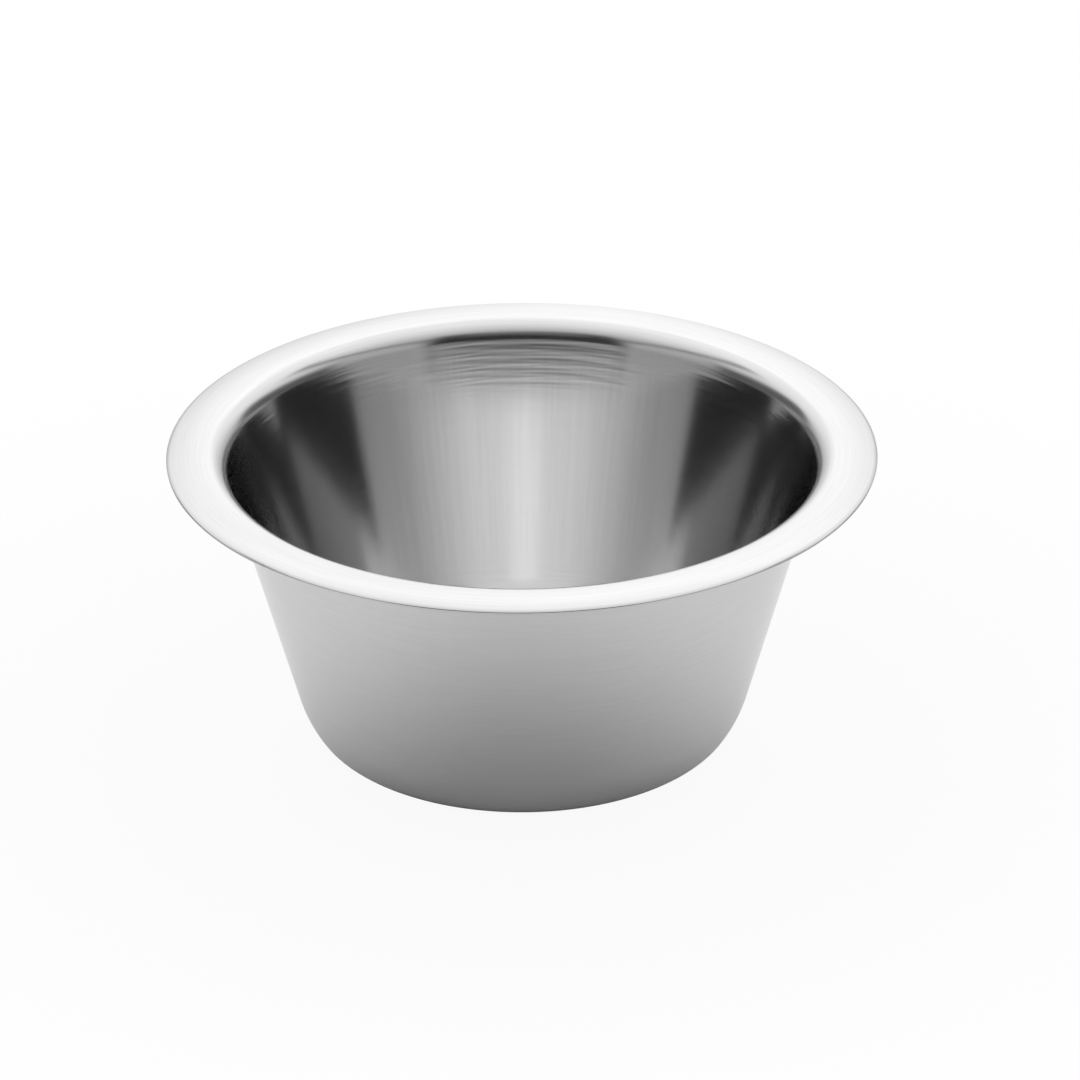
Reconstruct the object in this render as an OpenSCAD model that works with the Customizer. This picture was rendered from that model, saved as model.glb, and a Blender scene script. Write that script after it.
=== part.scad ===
// Prep bowl: one disc of stainless sheet, drawn into a deep tapered bowl with a wide flanged rim.
// Millimetres. The axis is Z, the middle of the base's underside is the origin, and the mouth faces +Z.

/* [Bowl] */
// Outer diameter of the rim
rim_d = 160; // [130:1:185]
// Width of the rim, from the narrowest part of the mouth bend out to the lip
rim_w = 14; // [9:0.5:18]
// Diameter of the flat disc that the bowl stands on
base_d = 86.6; // [60:0.2:100]
// Overall height, from the underside of the base to the top of the rim
bowl_h = 69; // [50:0.5:100]
// Thickness of the sheet
sheet = 0.6; // [0.4:0.1:0.8]

/* [Base corner] */
// Outer radius of the heel, where the base starts to turn up
heel_r = 6; // [3:0.5:10]
// How far the heel turns up, in degrees from level
heel_turn = 57; // [50:1:62]
// Outer radius of the wider sweep that carries the heel on into the wall
sweep_r = 26.5; // [15:0.5:36]

/* [Rim] */
// Radius of the mouth bend, on its upper face
mouth_r = 5; // [3:0.5:7]
// How steeply the rim's low crown climbs where it leaves the mouth bend, in degrees from level
crown_rise = 6; // [2:0.5:12]
// How steeply the crown falls where it meets the edge bend, in degrees from level
crown_fall = 8; // [4:0.5:14]
// Radius of the bend that turns the edge down, on its upper face
edge_r = 1.7; // [1.2:0.1:3]
// How far the edge has turned down at its cut end, in degrees from level
edge_fall = 40; // [20:1:80]

/* [Hidden] */

// Facets round the bowl, and the widest steps of the outline in degrees: at the bends, sweep, crown and lip
round_fn = 240;
bend_step = 7.5;
sweep_step = 3;
crown_step = 2;
lip_step = 30;

// Angles are directions in the half section, seen from a bend's centre: 0 is away from the axis, 90 is up

// Heel: turns from straight down to heel_end
heel_c = [base_d / 2, heel_r];
heel_end = heel_turn - 90;

// Sweep: starts where the heel ends, in the same direction
sweep_c = heel_c + (heel_r - sweep_r) * ray(heel_end);

// How far out the centres of the mouth bend and the edge bend stand. The rounded lip ends at the rim
lip_r = sheet / 2;
mouth_c_r = rim_d / 2 - rim_w + mouth_r;
edge_c_r = rim_d / 2 - lip_r - (edge_r - lip_r) * sin(edge_fall);

// Crown: the one arc, at the bowl's full height, that runs smoothly into both bends
crown_span = edge_c_r - mouth_c_r + mouth_r * sin(crown_rise) + edge_r * sin(crown_fall);
crown_r = crown_span / (sin(crown_rise) + sin(crown_fall));
crown_c = [mouth_c_r + (crown_r - mouth_r) * sin(crown_rise), bowl_h - crown_r];
mouth_c = crown_c + (crown_r - mouth_r) * ray(90 + crown_rise);
edge_c = crown_c + (crown_r - edge_r) * ray(90 - crown_fall);
lip_c = edge_c + (edge_r - lip_r) * ray(90 - edge_fall);

// Wall: the straight line that touches the sweep on one side and the mouth bend on the other
reach = mouth_c - sweep_c;
wall_lean = atan2(reach[0], reach[1]) - asin((sweep_r + mouth_r - sheet) / norm(reach));

// Unit vector at an angle from the radial direction, in the plane of the section
function ray(a) = [cos(a), sin(a)];

// Points of an arc round c from one angle to another, both ends included
function arc(c, r, from, to, step = bend_step) =
    let (n = ceil(abs(to - from) / step))
    [for (i = [0 : n]) c + r * ray(from + (to - from) * i / n)];

// One face of the sheet from the axis out to the lip, raised from the underside by a part of the thickness
function face(up) = concat(
    [[0, up]],
    arc(heel_c, heel_r - up, -90, heel_end),
    arc(sweep_c, sweep_r - up, heel_end, -wall_lean, sweep_step),
    arc(mouth_c, mouth_r - sheet + up, 180 - wall_lean, 90 + crown_rise),
    arc(crown_c, crown_r - sheet + up, 90 + crown_rise, 90 - crown_fall, crown_step),
    arc(edge_c, edge_r - sheet + up, 90 - crown_fall, 90 - edge_fall)
);

function reversed(list) = [for (i = [len(list) - 1 : -1 : 0]) list[i]];

// Rounded cut end of the sheet, from its underside out to the rim's diameter and on to its upper face
function lip() = concat(
    arc(lip_c, lip_r, -90 - edge_fall, 0, lip_step),
    arc(lip_c, lip_r, 0, 90 - edge_fall, lip_step)
);

// The bowl is this one turned shell: underside, lip, and the upper face back to the axis
module bowl_shell() {
    color("silver") rotate_extrude($fn = round_fn)
        polygon(concat(face(0), lip(), reversed(face(sheet))));
}

bowl_shell();
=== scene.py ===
# Steel prep bowl on a pale studio floor. Metres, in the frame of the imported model: +Z is up, and the bowl
# stands on z = 0.
import math
import bpy
import bmesh
from mathutils import Matrix, Vector


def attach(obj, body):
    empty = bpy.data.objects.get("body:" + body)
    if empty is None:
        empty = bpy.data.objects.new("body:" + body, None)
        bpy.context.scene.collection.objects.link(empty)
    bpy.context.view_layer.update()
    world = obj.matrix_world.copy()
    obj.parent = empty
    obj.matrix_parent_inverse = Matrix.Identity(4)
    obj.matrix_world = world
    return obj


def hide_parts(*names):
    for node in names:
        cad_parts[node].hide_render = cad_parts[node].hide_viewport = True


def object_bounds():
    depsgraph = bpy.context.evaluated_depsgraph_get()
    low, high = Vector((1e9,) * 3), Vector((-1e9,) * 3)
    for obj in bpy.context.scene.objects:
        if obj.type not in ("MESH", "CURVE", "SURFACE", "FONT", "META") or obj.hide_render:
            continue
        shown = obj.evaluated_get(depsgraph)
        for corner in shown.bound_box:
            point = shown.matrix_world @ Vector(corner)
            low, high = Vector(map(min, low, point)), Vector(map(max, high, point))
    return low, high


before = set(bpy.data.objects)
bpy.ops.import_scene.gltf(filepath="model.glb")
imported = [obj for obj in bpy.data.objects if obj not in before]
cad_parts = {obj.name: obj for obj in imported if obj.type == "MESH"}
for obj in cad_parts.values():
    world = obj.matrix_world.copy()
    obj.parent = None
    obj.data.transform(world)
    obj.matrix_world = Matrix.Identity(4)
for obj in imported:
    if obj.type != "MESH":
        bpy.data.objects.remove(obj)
cad_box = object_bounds()


# Camera. A long lens about nine bowl widths away, 27 degrees above the table, looking along +Y. The bowl
# sits a little left of the picture's middle and a little below it, and the camera is turned a hair about its
# own axis.
MM = 0.001
PICTURE_PX = 1080
camera_distance = 1400 * MM
camera_elevation = math.radians(27.0)
camera_roll = math.radians(-0.27)
# Focal length, and where the middle of the bowl falls, in pixels of the picture
focal_px = 6153
bowl_middle_px = (522.4, 583.6)
sensor_width_mm = 36
clip_near, clip_far = 0.05, 20

low, high = cad_box
bowl_middle = Vector((0, 0, (low.z + high.z) / 2))
backward = Vector((0, -math.cos(camera_elevation), math.sin(camera_elevation)))
upward = Vector((0, math.sin(camera_elevation), math.cos(camera_elevation)))
metres_per_px = camera_distance / focal_px
eye = bowl_middle + backward * camera_distance
aim = bowl_middle + Vector((1, 0, 0)) * (PICTURE_PX / 2 - bowl_middle_px[0]) * metres_per_px
aim += upward * (bowl_middle_px[1] - PICTURE_PX / 2) * metres_per_px

camera = bpy.data.objects.new("camera", bpy.data.cameras.new("camera"))
camera.data.sensor_width = sensor_width_mm
camera.data.lens = focal_px / PICTURE_PX * sensor_width_mm
camera.data.clip_start = clip_near
camera.data.clip_end = clip_far
turn = (eye - aim).to_track_quat("Z", "Y").to_matrix().to_4x4() @ Matrix.Rotation(camera_roll, 4, "Z")
camera.matrix_world = Matrix.Translation(eye) @ turn
bpy.context.scene.collection.objects.link(camera)
bpy.context.scene.camera = camera
bpy.context.scene.view_settings.view_transform = "Standard"


# Studio floor: a sheet of white card. It takes the bowl's soft shadow, and further out it goes over into
# plain white, so no edge or horizon shows. The camera sees it lifted almost to white, and steel sees a
# painted white glow on it, which grows away from the bowl's front.
floor_radius = 2.5
floor_sides = 64
floor_colour = "F2F2F2"
# The card lies a hair below the bowl's base, so that no two faces coincide
floor_gap = 0.05 * MM
# How far the card is lifted towards white next to the bowl and far from it, and where that starts and ends
seen_near, seen_far, seen_start, seen_end = 0.93, 1.0, 50 * MM, 260 * MM
# For steel that lift is a painted white glow, measured from the spot in front of the bowl
mirrored_near, mirrored_far, mirrored_start, mirrored_end = 0.0, 0.51, 20 * MM, 96 * MM
# The painted glow that steel sees grows from a spot in front of the bowl, where the card lies towards the
# tent's dark opening
front_spot = (0, -35 * MM, 0)


def linear(hex_colour):
    """sRGB hex colour as the linear colour that Blender's sockets take."""
    out = []
    for i in (0, 2, 4):
        c = int(hex_colour[i : i + 2], 16) / 255
        out.append(c / 12.92 if c <= 0.04045 else ((c + 0.055) / 1.055) ** 2.4)
    return (*out, 1.0)


def add(tree, kind, settings=(), links=(), values=()):
    """Adds a node: settings are its properties, links feed its inputs, values fill them."""
    node = tree.nodes.new(kind)
    for name, value in dict(settings).items():
        setattr(node, name, value)
    for name, value in dict(values).items():
        node.inputs[name].default_value = value
    for name, source in dict(links).items():
        tree.links.new(source, node.inputs[name])
    return node


def empty_material(name):
    material = bpy.data.materials.new(name)
    material.use_nodes = True
    material.node_tree.nodes.clear()
    return material


def white_card():
    """Uncoated card: dull and even, with no gloss, so that nothing but the soft shadow shows on it."""
    material = empty_material("white_card_matte")
    tree = material.node_tree
    place = add(tree, "ShaderNodeTexCoord")
    distance = add(tree, "ShaderNodeVectorMath", {"operation": "LENGTH"}, {0: place.outputs["Object"]})
    front_distance = add(tree, "ShaderNodeVectorMath", {"operation": "DISTANCE"},
                         {0: place.outputs["Object"]}, {1: front_spot})
    ray = add(tree, "ShaderNodeLightPath")
    mirrored = add(tree, "ShaderNodeMath", {"operation": "MAXIMUM"},
                   {0: ray.outputs["Is Glossy Ray"], 1: ray.outputs["Is Transmission Ray"]})
    # One lift for what the camera sees and one for what steel mirrors, each for its own rays only
    # The lift for steel is painted light: a white glow on the card, nil at the front spot and growing
    # outwards
    lifts = []
    for which, away, near, far, start, end in (
        (ray.outputs["Is Camera Ray"], distance, seen_near, seen_far, seen_start, seen_end),
        (mirrored.outputs[0], front_distance, mirrored_near, mirrored_far, mirrored_start, mirrored_end),
    ):
        share = add(tree, "ShaderNodeMapRange", {"interpolation_type": "SMOOTHSTEP"},
                    {0: away.outputs["Value"]}, {1: start, 2: end, 3: near, 4: far})
        lifts.append(add(tree, "ShaderNodeMath", {"operation": "MULTIPLY"}, {0: share.outputs[0], 1: which}))
    lift = add(tree, "ShaderNodeMath", {"operation": "ADD"},
               {0: lifts[0].outputs[0], 1: lifts[1].outputs[0]})
    card = add(tree, "ShaderNodeBsdfDiffuse", values={"Color": linear(floor_colour)})
    white = add(tree, "ShaderNodeEmission", values={"Color": (1, 1, 1, 1), "Strength": 1.0})
    mix = add(tree, "ShaderNodeMixShader",
              links={0: lift.outputs[0], 1: card.outputs[0], 2: white.outputs[0]})
    add(tree, "ShaderNodeOutputMaterial", links={"Surface": mix.outputs[0]})
    return material


bm = bmesh.new()
bmesh.ops.create_circle(bm, cap_ends=True, segments=floor_sides, radius=floor_radius)
mesh = bpy.data.meshes.new("floor")
bm.to_mesh(mesh)
bm.free()
floor = bpy.data.objects.new("floor", mesh)
floor.data.materials.append(white_card())
floor.location.z = -floor_gap
bpy.context.scene.collection.objects.link(floor)


# Light. A tent of white cloth stands over the bowl, lit through its roof and its back wall. It is open
# towards the camera, it has a low gap on either side, and a slit runs along either side where the walls end
# below the roof. The dark room shows through all of them. The camera itself sees white.
tent_radius = 2.4
tent_rings = 96
tent_turns = 192
# The tent stands a little turned, its back towards the right, as the reflections inside the bowl show
tent_turn = math.radians(-1.9)
# Brightness of the cloth at the least and straight to the side, and what it gains to the back and the roof
cloth_least, cloth_level, cloth_to_back, cloth_to_roof = 0.58, 0.44, 0.50, 0.52
# Near the table the cloth is in shade: its share of light there, and the heights in degrees where that
# starts to grow and where it is whole
hem_share, hem_low, hem_top = 0.535, -3, 32.6
# Parts of the tent: brightness, the azimuths from the camera's side where it starts and ends, its lower and
# upper edge, how much these climb by degree of azimuth, and how soft all its edges are. Edges are in
# degrees, and None stands for no edge. First a panel lamp close behind the back wall, with a bright band
# along its top, then the slit and the gap on either side, and last the opening, with a flap that hangs into
# it and the table in front of it.
PANEL_LAMP = (1.53, 177.5, None, None, 36, 0, 15)
BRIGHT_BAND = (1.56, 166, None, 33.5, 37.5, 0, 3)
SIDE_SLIT = (0.13, 36, 122, 20.97, 28.37, 0.174, 3.5)
SIDE_GAP = (0.10, 80, 135, None, 22.8, 0, 5.2)
OPENING = (0.018, None, 39.5, None, 46, 0, 3.5)
FRONT_FLAP = (0.13, None, 26, 32, 47, 0, 4)
TABLE_IN_FRONT = (0.64, None, 39.5, None, 8, 0, 7)
# Strength of the white world outside the tent: as light, and as the camera and steel see it
world_light, world_seen = 0.8, 1.0


def lit_cloth():
    """White cloth lit from outside: it glows softly, with no weave or folds that steel could mirror."""
    material = empty_material("tent_cloth_backlit")
    tree = material.node_tree
    place = add(tree, "ShaderNodeTexCoord")
    way = add(tree, "ShaderNodeVectorMath", {"operation": "NORMALIZE"}, {0: place.outputs["Object"]})
    aside, back, up = add(tree, "ShaderNodeSeparateXYZ", links={0: way.outputs[0]}).outputs
    # Height above level, and azimuth to either side of the camera, in degrees
    height = add(tree, "ShaderNodeMath", {"operation": "ARCSINE"}, {0: up})
    height = add(tree, "ShaderNodeMath", {"operation": "DEGREES"}, {0: height.outputs[0]})
    front = add(tree, "ShaderNodeMath", {"operation": "MULTIPLY"}, {0: back}, {1: -1})
    azimuth = add(tree, "ShaderNodeMath", {"operation": "ARCTAN2"}, {0: aside, 1: front.outputs[0]})
    azimuth = add(tree, "ShaderNodeMath", {"operation": "ABSOLUTE"}, {0: azimuth.outputs[0]})
    azimuth = add(tree, "ShaderNodeMath", {"operation": "DEGREES"}, {0: azimuth.outputs[0]})

    cloth = add(tree, "ShaderNodeMath", {"operation": "MULTIPLY_ADD"}, {0: back},
                {1: cloth_to_back, 2: cloth_level})
    cloth = add(tree, "ShaderNodeMath", {"operation": "MULTIPLY_ADD"}, {0: up, 2: cloth.outputs[0]},
                {1: cloth_to_roof})
    cloth = add(tree, "ShaderNodeMath", {"operation": "MAXIMUM"}, {0: cloth.outputs[0]}, {1: cloth_least})
    hem = add(tree, "ShaderNodeMapRange", {"interpolation_type": "SMOOTHSTEP"}, {0: height.outputs[0]},
              {1: hem_low, 2: hem_top, 3: hem_share, 4: 1})
    cloth = add(tree, "ShaderNodeMath", {"operation": "MULTIPLY"}, {0: cloth.outputs[0], 1: hem.outputs[0]})

    for bright, start, end, lower, upper, climb, soft in (
        PANEL_LAMP, BRIGHT_BAND, SIDE_SLIT, SIDE_GAP, OPENING, FRONT_FLAP, TABLE_IN_FRONT,
    ):
        level = add(tree, "ShaderNodeMath", {"operation": "MULTIPLY_ADD"},
                    {0: azimuth.outputs[0], 2: height.outputs[0]}, {1: -climb})
        share = None
        for source, edge, before, after in (
            (azimuth, start, 0, 1), (azimuth, end, 1, 0), (level, lower, 0, 1), (level, upper, 1, 0),
        ):
            if edge is None:
                continue
            side = add(tree, "ShaderNodeMapRange", {"interpolation_type": "SMOOTHSTEP"},
                       {0: source.outputs[0]}, {1: edge - soft, 2: edge + soft, 3: before, 4: after})
            share = side if share is None else add(tree, "ShaderNodeMath", {"operation": "MULTIPLY"},
                                                   {0: share.outputs[0], 1: side.outputs[0]})
        cloth = add(tree, "ShaderNodeMapRange", links={0: share.outputs[0], 3: cloth.outputs[0]},
                    values={4: bright})
    glow = add(tree, "ShaderNodeEmission", links={"Strength": cloth.outputs[0]})
    add(tree, "ShaderNodeOutputMaterial", links={"Surface": glow.outputs[0]})
    material.cycles.emission_sampling = "NONE"
    return material


bm = bmesh.new()
bmesh.ops.create_uvsphere(bm, u_segments=tent_turns, v_segments=tent_rings, radius=tent_radius)
mesh = bpy.data.meshes.new("light_tent")
bm.to_mesh(mesh)
bm.free()
tent = bpy.data.objects.new("light_tent", mesh)
tent.data.materials.append(lit_cloth())
tent.visible_camera = False
tent.rotation_euler.z = tent_turn
bpy.context.scene.collection.objects.link(tent)

world = bpy.data.worlds.new("studio")
bpy.context.scene.world = world
world.use_nodes = True
tree = world.node_tree
tree.nodes.clear()
ray = add(tree, "ShaderNodeLightPath")
seen = add(tree, "ShaderNodeMath", {"operation": "MAXIMUM"},
           {0: ray.outputs["Is Camera Ray"], 1: ray.outputs["Is Glossy Ray"]})
seen = add(tree, "ShaderNodeMath", {"operation": "MAXIMUM"},
           {0: seen.outputs[0], 1: ray.outputs["Is Transmission Ray"]})
strength = add(tree, "ShaderNodeMapRange", links={0: seen.outputs[0]},
               values={3: world_light, 4: world_seen})
sky = add(tree, "ShaderNodeBackground", {}, {"Strength": strength.outputs[0]}, {"Color": (1, 1, 1, 1)})
add(tree, "ShaderNodeOutputWorld", links={"Surface": sky.outputs[0]})


# The bowl. One disc of stainless sheet, drawn to a deep tapered shape, with a wide rim turned out from the
# same sheet and its edge turned down. It is brushed round the axis to a satin, inside and out, and the rim
# is a little more matt than the wall.
rim_radius = high.x
bowl_height = high.z
# The outline's other sizes are those of the solid. Turns, rises and falls are in degrees from level
sheet = 0.6 * MM
rim_width = 14 * MM
base_radius = 43.3 * MM
heel_radius, heel_turn = 6 * MM, 57
sweep_radius = 26.5 * MM
mouth_radius = 5 * MM
crown_rise, crown_fall = 6, 8
edge_radius, edge_fall = 1.7 * MM, 40
# Steps round the axis, few enough to keep the mesh under 200,000 triangles
steps_round = 316
# Steps along the outline, from the axis out to the lip. The wall is parted where the turning marks start,
# and above that its inner face has far more steps than its outer one
base_steps, heel_steps, sweep_steps, wall_steps = 12, 14, 10, 20
outer_steps, marked_steps = 6, 90
mouth_steps, crown_steps, edge_steps, lip_steps = 24, 16, 10, 8
# Turning marks left inside, below the mouth: the heights that they lie between, and each wave's length, its
# slope, and by how many waves it drifts and swells on the way round
marks_low, marks_full, marks_end, marks_top = 51 * MM, 61 * MM, 65.6 * MM, 68.0 * MM
MARKS = (
    (2.9 * MM, 0.011, 1, 7),
    (1.7 * MM, 0.013, -2, 12),
    (1.1 * MM, 0.012, 3, 17),
    (0.8 * MM, 0.011, -4, 23),
)
# How far each wave wanders off its course, in radians, how far its strength swells and fades, and how much
# of the marks is left on the left and right
mark_wander, mark_swell, marks_aside = 0.9, 0.4, 0.3
# Up there the wall flares a little, more and more from this height up, to this slope at the mouth
flare_low, flare_slope = 57 * MM, 0.010
# Ring where the tool was set down, and the wall leans out further above it, most on the right: the ring's
# height, half width and depth, the slope above it, and how much and how often it swells on the way round
ring_height, ring_half_width, ring_depth, ring_slope = 62.6 * MM, 0.2 * MM, 0.005 * MM, 0.010
ring_swell, ring_swell_count = 0.3, 3
# Heights between which the inner wall shows drawing streaks: none, all, all and none again
streak_low, streak_full, streak_top, streak_end = 8 * MM, 20 * MM, 58 * MM, 66 * MM


def sine(degrees):
    return math.sin(math.radians(degrees))


def ray_at(degrees):
    """Unit vector in the plane of the half section: 0 is away from the axis, 90 is up."""
    a = math.radians(degrees)
    return Vector((math.cos(a), math.sin(a)))


def arc(centre, radius, start, end, steps):
    """Points on a bend round the centre, from one angle to another, both ends included."""
    return [centre + radius * ray_at(start + (end - start) * i / steps) for i in range(steps + 1)]


def between(start, end, steps):
    """Points on the straight line from start to end, without these two."""
    return [start.lerp(end, i / steps) for i in range(1, steps)]


# Centres of the bends, and the crown and the wall that run smoothly into them
heel_c = Vector((base_radius, heel_radius))
heel_end = heel_turn - 90
sweep_c = heel_c + (heel_radius - sweep_radius) * ray_at(heel_end)
lip_radius = sheet / 2
mouth_c_r = rim_radius - rim_width + mouth_radius
edge_c_r = rim_radius - lip_radius - (edge_radius - lip_radius) * sine(edge_fall)
crown_span = edge_c_r - mouth_c_r + mouth_radius * sine(crown_rise) + edge_radius * sine(crown_fall)
crown_radius = crown_span / (sine(crown_rise) + sine(crown_fall))
crown_c = Vector((mouth_c_r + (crown_radius - mouth_radius) * sine(crown_rise), bowl_height - crown_radius))
mouth_c = crown_c + (crown_radius - mouth_radius) * ray_at(90 + crown_rise)
edge_c = crown_c + (crown_radius - edge_radius) * ray_at(90 - crown_fall)
lip_c = edge_c + (edge_radius - lip_radius) * ray_at(90 - edge_fall)
span = mouth_c - sweep_c
lean = math.atan2(span.x, span.y) - math.asin((sweep_radius + mouth_radius - sheet) / span.length)
lean = math.degrees(lean)


def face(raised, upper_steps):
    """Half section of one face of the sheet, from near the axis to the lip, raised above the underside."""
    wall_low = sweep_c + (sweep_radius - raised) * ray_at(-lean)
    wall_high = mouth_c + (mouth_radius - sheet + raised) * ray_at(180 - lean)
    marked = wall_low.lerp(wall_high, (marks_low - wall_low.y) / (wall_high.y - wall_low.y))
    return (
        between(Vector((0, raised)), Vector((base_radius, raised)), base_steps)
        + arc(heel_c, heel_radius - raised, -90, heel_end, heel_steps)
        + arc(sweep_c, sweep_radius - raised, heel_end, -lean, sweep_steps)[1:]
        + between(wall_low, marked, wall_steps)
        + [marked]
        + between(marked, wall_high, upper_steps)
        + arc(mouth_c, mouth_radius - sheet + raised, 180 - lean, 90 + crown_rise, mouth_steps)
        + arc(crown_c, crown_radius - sheet + raised, 90 + crown_rise, 90 - crown_fall, crown_steps)[1:]
        + arc(edge_c, edge_radius - sheet + raised, 90 - crown_fall, 90 - edge_fall, edge_steps)[1:]
    )


def ease(value, start, end):
    """0 up to start, 1 from end on, and a soft step between them."""
    x = min(1, max(0, (value - start) / (end - start)))
    return x * x * (3 - 2 * x)


def turning_mark(z, a):
    """How far the turned inner wall stands out from its true cone, at a height and an azimuth."""
    if not marks_low < z < marks_top:
        return 0.0
    out = 0.0
    # Each wave swells two times more on the way round than it wanders, and k keeps the waves out of step
    for k, (wave, slope, drift, swell) in enumerate(MARKS):
        phase = 2 * math.pi * z / wave + drift * a + mark_wander * math.sin(swell * a + k)
        strength = 1 - mark_swell + mark_swell * math.cos((swell + 2) * a + 2 * k)
        out += wave * slope / (2 * math.pi) * math.sin(phase) * strength
    out *= ease(z, marks_low, marks_full) * (marks_aside + (1 - marks_aside) * math.sin(a) ** 2)
    out += flare_slope * max(0, z - flare_low) ** 2 / (2 * (marks_end - flare_low))
    out += ring_slope * (1 + math.cos(a)) * max(0, z - ring_height)
    ring = ring_depth * math.exp(-(((z - ring_height) / ring_half_width) ** 2))
    out += ring * (1 - ring_swell + ring_swell * math.sin(ring_swell_count * a))
    return out * (1 - ease(z, marks_end, marks_top))


def turned(name, outline, first_z, last_z):
    """Turns the outline about the axis, with the marks inside, and closes it on the axis at two heights.

    Each point also holds how far it shows drawing streaks in place of brush lines, for the steel to read.
    """
    bm = bmesh.new()
    drawn_wall = bm.verts.layers.float.new("drawn_wall")
    rings = []
    for p, inside in outline:
        streaked = ease(p.y, streak_low, streak_full) * (1 - ease(p.y, streak_top, streak_end))
        ring = []
        for i in range(steps_round):
            a = 2 * math.pi * i / steps_round
            mark = turning_mark(p.y, a) if inside else 0.0
            r, z = p + mark * ray_at(-lean)
            point = bm.verts.new((r * math.cos(a), r * math.sin(a), z))
            point[drawn_wall] = streaked if inside else 0.0
            ring.append(point)
        rings.append(ring)
    for ring, following in zip(rings, rings[1:]):
        for i in range(steps_round):
            j = (i + 1) % steps_round
            bm.faces.new((ring[i], ring[j], following[j], following[i]))
    for z, ring, flip in ((first_z, rings[0], True), (last_z, rings[-1], False)):
        centre = bm.verts.new((0, 0, z))
        for i in range(steps_round):
            j = (i + 1) % steps_round
            bm.faces.new((ring[j], ring[i], centre) if flip else (ring[i], ring[j], centre))
    for f in bm.faces:
        f.smooth = True
    mesh = bpy.data.meshes.new(name)
    bm.to_mesh(mesh)
    bm.free()
    made = bpy.data.objects.new(name, mesh)
    bpy.context.scene.collection.objects.link(made)
    return made


# Stainless steel, brushed round the axis after it was drawn: a neutral grey mirror, blurred more up and down
# than round, with faint lines along the brushing and soft streaks down the wall, where the sheet flowed over
# the die. On the inner wall the streaks show more than the lines.
# Colour and blur where the pattern is deepest and where it is most open
# The darker colour is painted shade: the lines and streaks are a little darker where they lie low
steel_groove_shade, steel_open = "DBDBDB", "DFDFDF"
blur_least, blur_most = 0.112, 0.138
# The rim and its bend, stretched when the flange was turned, are a little more matt than the wall below
rim_blur, rim_blur_start, rim_blur_full = 0.22, 64.5 * MM, 66.5 * MM
# How far the blur is drawn out, and the quarter turn that lays it across the brushing
anisotropy, across_brushing = 0.444, 0.25
# Brush lines: real ones are 0.02 to 0.05 mm wide, and these are drawn coarser, so that they show. Width,
# length and depth, and how much of that depth is left on the inner wall
line_width, line_length, line_depth, lines_inside = 0.45 * MM, 16 * MM, 0.00035 * MM, 0.4
# Drawing streaks: width, length and depth
streak_width, streak_length, streak_depth = 1.1 * MM, 45 * MM, 0.0014 * MM
# Radius of the wall at which the patterns have these lengths, and how fine and how rough their noise is
wall_radius = 60 * MM
noise_detail, noise_roughness = 2.5, 0.6
# The noise runs from 0 to 1 and seldom leaves its middle: where in it blur and colour start and end
blur_from, blur_to = 0.3, 0.7
tone_from, tone_to = 0.35, 0.65


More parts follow.
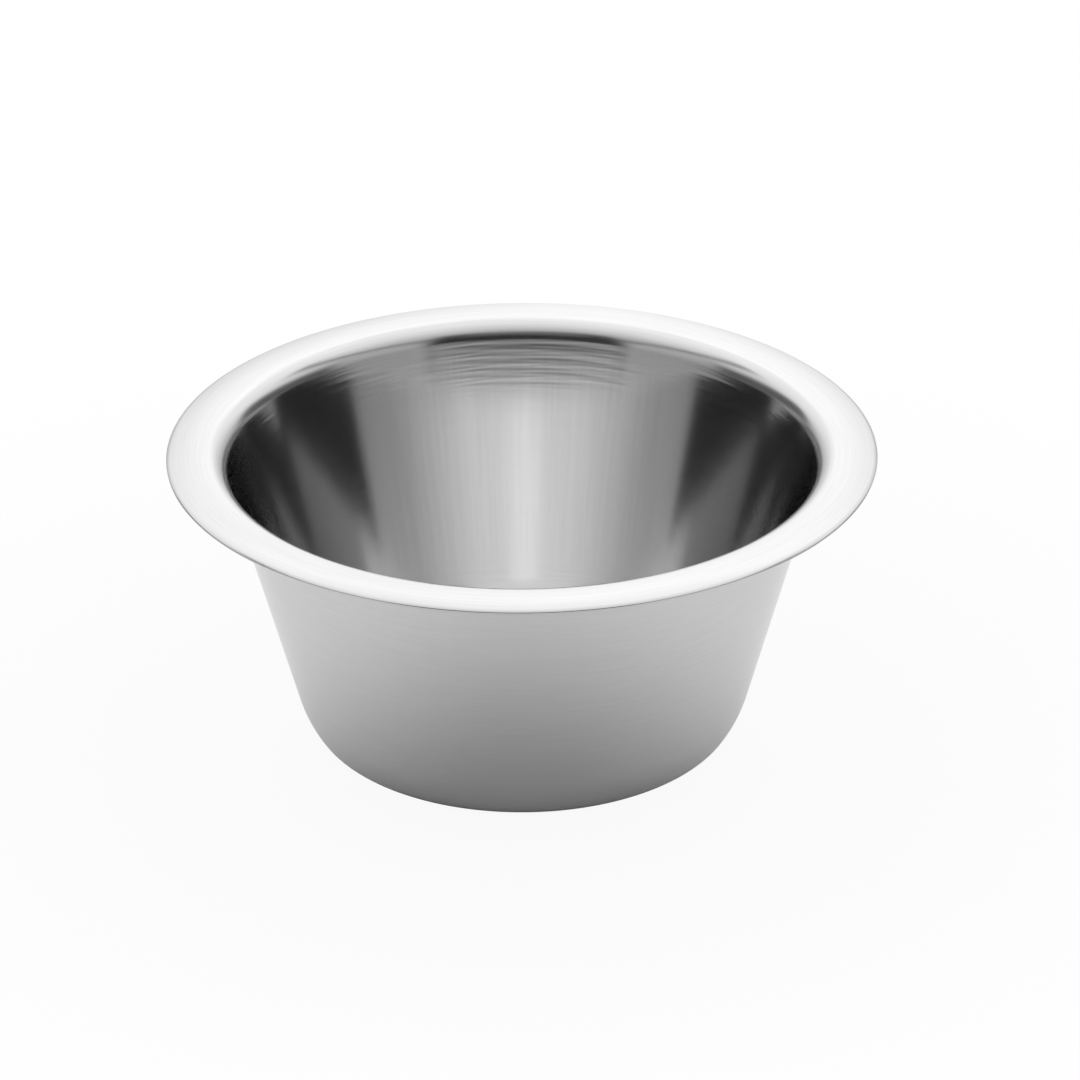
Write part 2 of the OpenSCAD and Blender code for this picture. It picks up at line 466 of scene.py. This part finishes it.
def satin_stainless():
    material = empty_material("stainless_steel_satin_brushed")
    tree = material.node_tree
    place = add(tree, "ShaderNodeTexCoord")
    level = add(tree, "ShaderNodeVectorMath", {"operation": "MULTIPLY"}, {0: place.outputs["Object"]},
                {1: (1, 1, 0)})
    outward = add(tree, "ShaderNodeVectorMath", {"operation": "NORMALIZE"}, {0: level.outputs[0]})
    radius = add(tree, "ShaderNodeVectorMath", {"operation": "LENGTH"}, {0: level.outputs[0]})
    height = add(tree, "ShaderNodeSeparateXYZ", links={0: place.outputs["Object"]}).outputs[2]
    # Radius plus height grows all the way from the middle of the base out to the lip
    along = add(tree, "ShaderNodeMath", {"operation": "ADD"}, {0: radius.outputs["Value"], 1: height})
    upward = add(tree, "ShaderNodeCombineXYZ", links={2: along.outputs[0]})
    patterns = []
    for size_round, size_along in ((line_length, line_width), (streak_width, streak_length)):
        around = add(tree, "ShaderNodeVectorMath", {"operation": "SCALE"}, {0: outward.outputs[0]},
                     {"Scale": wall_radius / size_round})
        lengthways = add(tree, "ShaderNodeVectorMath", {"operation": "SCALE"}, {0: upward.outputs[0]},
                         {"Scale": 1 / size_along})
        spot = add(tree, "ShaderNodeVectorMath", {"operation": "ADD"},
                   {0: around.outputs[0], 1: lengthways.outputs[0]})
        patterns.append(add(tree, "ShaderNodeTexNoise", {"noise_dimensions": "3D"},
                            {"Vector": spot.outputs[0]},
                            {"Scale": 1, "Detail": noise_detail, "Roughness": noise_roughness}))
    lines, streaks = patterns
    drawn_wall = add(tree, "ShaderNodeAttribute", {"attribute_name": "drawn_wall"}).outputs["Fac"]
    lines_left = add(tree, "ShaderNodeMapRange", links={0: drawn_wall}, values={3: 1, 4: lines_inside})
    brushed = add(tree, "ShaderNodeBump", {},
                  {"Strength": lines_left.outputs[0], "Height": lines.outputs[0]}, {"Distance": line_depth})
    # The streaks run down the wall only: the rim has none
    on_wall = add(tree, "ShaderNodeMapRange", links={0: height},
                  values={1: streak_top, 2: streak_end, 3: 1, 4: 0})
    drawn = add(tree, "ShaderNodeBump", {},
                {"Strength": on_wall.outputs[0], "Height": streaks.outputs[0], "Normal": brushed.outputs[0]},
                {"Distance": streak_depth})
    blur = add(tree, "ShaderNodeMapRange", links={0: lines.outputs[0]},
               values={1: blur_from, 2: blur_to, 3: blur_least, 4: blur_most})
    blur = add(tree, "ShaderNodeMapRange", links={0: height, 3: blur.outputs[0]},
               values={1: rim_blur_start, 2: rim_blur_full, 4: rim_blur})
    # Painted shade: the colour darkens a little where the lines, or on the inner wall the streaks, lie low
    pattern = add(tree, "ShaderNodeMix", {"data_type": "FLOAT"},
                  {0: drawn_wall, 2: lines.outputs[0], 3: streaks.outputs[0]})
    share = add(tree, "ShaderNodeMapRange", links={0: pattern.outputs[0]}, values={1: tone_from, 2: tone_to})
    tone = add(tree, "ShaderNodeMix", {"data_type": "RGBA"}, {0: share.outputs[0]},
               {6: linear(steel_groove_shade), 7: linear(steel_open)})
    round_axis = add(tree, "ShaderNodeTangent", {"direction_type": "RADIAL", "axis": "Z"})
    metal = add(tree, "ShaderNodeBsdfPrincipled", {},
                {"Base Color": tone.outputs[2], "Tangent": round_axis.outputs[0], "Normal": drawn.outputs[0],
                 "Roughness": blur.outputs[0]},
                {"Metallic": 1.0, "Anisotropic": anisotropy, "Anisotropic Rotation": across_brushing})
    add(tree, "ShaderNodeOutputMaterial", links={"Surface": metal.outputs[0]})
    return material


# The outline runs out along the underside, round the lip, and back along the upper face. The part of the
# upper face within the mouth carries the marks and the streaks
outer_face = face(0, outer_steps)
inner_face = face(sheet, marked_steps)
lip = arc(lip_c, lip_radius, -90 - edge_fall, 90 - edge_fall, lip_steps)[1:-1]
outline = [(p, False) for p in outer_face + lip] + [(p, p.x < mouth_c.x) for p in inner_face[::-1]]

bowl = turned("bowl", outline, 0, sheet)
bowl.data.materials.append(satin_stainless())
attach(bowl, "root")
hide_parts("bowl_shell")
